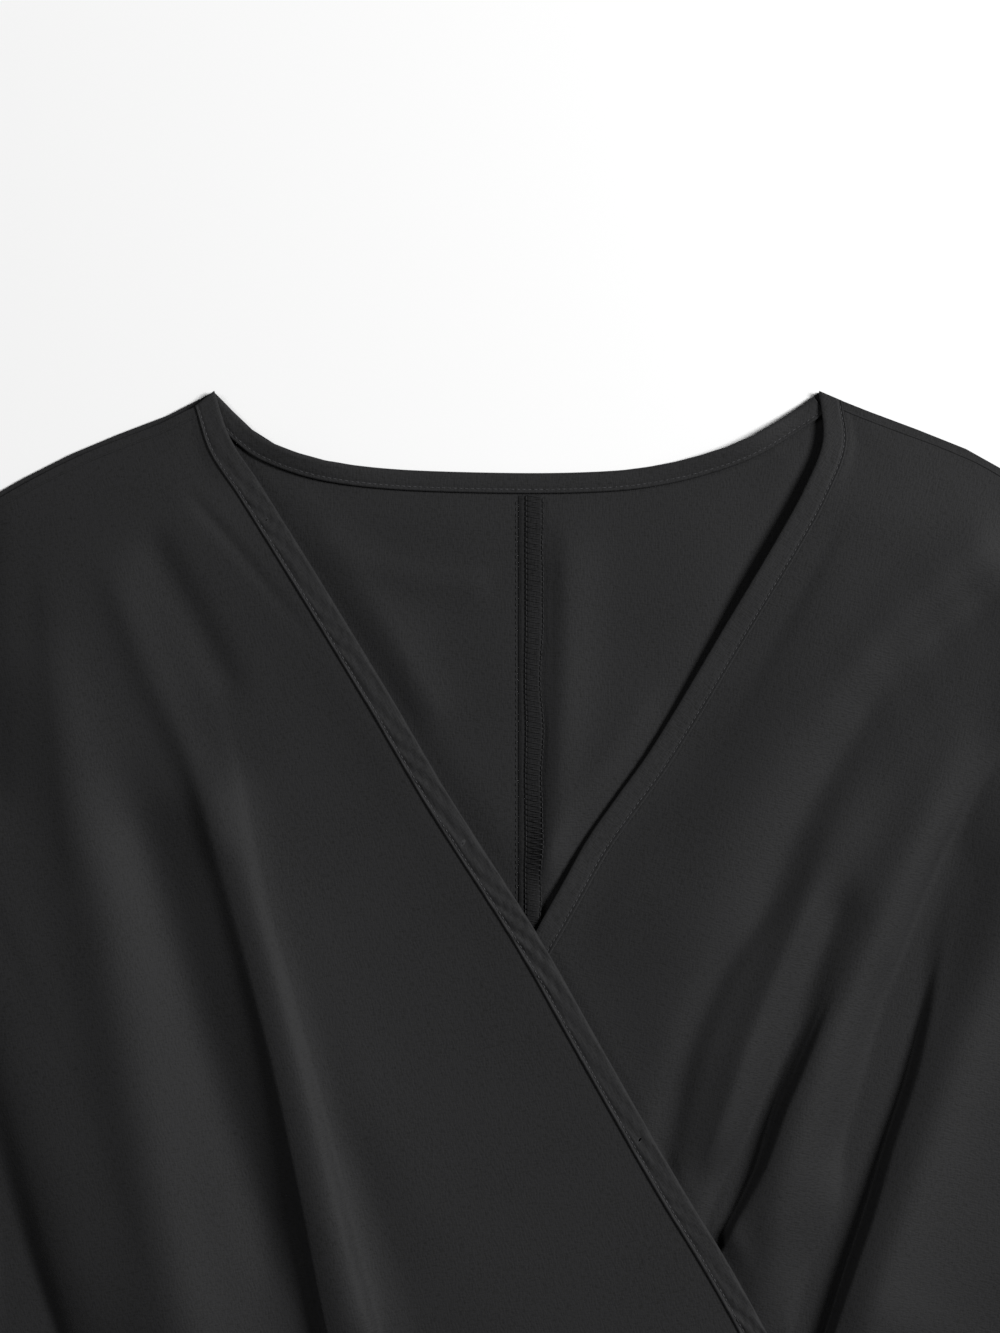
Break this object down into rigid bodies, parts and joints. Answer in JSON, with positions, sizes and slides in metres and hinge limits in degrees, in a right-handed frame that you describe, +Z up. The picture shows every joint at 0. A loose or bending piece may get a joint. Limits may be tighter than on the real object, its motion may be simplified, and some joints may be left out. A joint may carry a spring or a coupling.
{
  "type": "wrap dress",
  "caption": "Black batwing-sleeve wrap dress laid flat, front up, with a bound V neckline, folds drawn in to a tied waist and an A-line skirt.",
  "frame": {"origin": "middle of the dress on the surface that it lies on: X = 0 is the centre back seam, Y = 0 is half way from the hem to the shoulder points and Z = 0 is the underside", "axes": "+Z up through the cloth from the surface, +Y from the hem to the neck, +X towards the wearer's left"},
  "size_m": [1.01, 1.001, 0.0196],
  "materials": {
    "crepe": "matte woven black crepe with a faint soft sheen",
    "binding": "the same cloth folded into an edge-stitched strip",
    "seam_edge": "overlocked raw edge of the same cloth",
    "tie": "the same cloth, folded and pressed into a narrow tie"
  },
  "bodies": {
    "root": {"back_right": "crepe", "back_left": "crepe", "front_right": "crepe", "front_left": "crepe", "skirt_back": "crepe", "skirt_front_right": "crepe", "skirt_front_left": "crepe", "neck_binding_right": "binding", "neck_binding_left": "binding", "neck_binding_back": "binding", "centre_back_seam": "seam_edge", "tie_band_right": "tie", "tie_band_left": "tie", "tie_knot": "tie", "tie_end_long": "tie", "tie_end_short": "tie"}
  },
  "joints": []
}
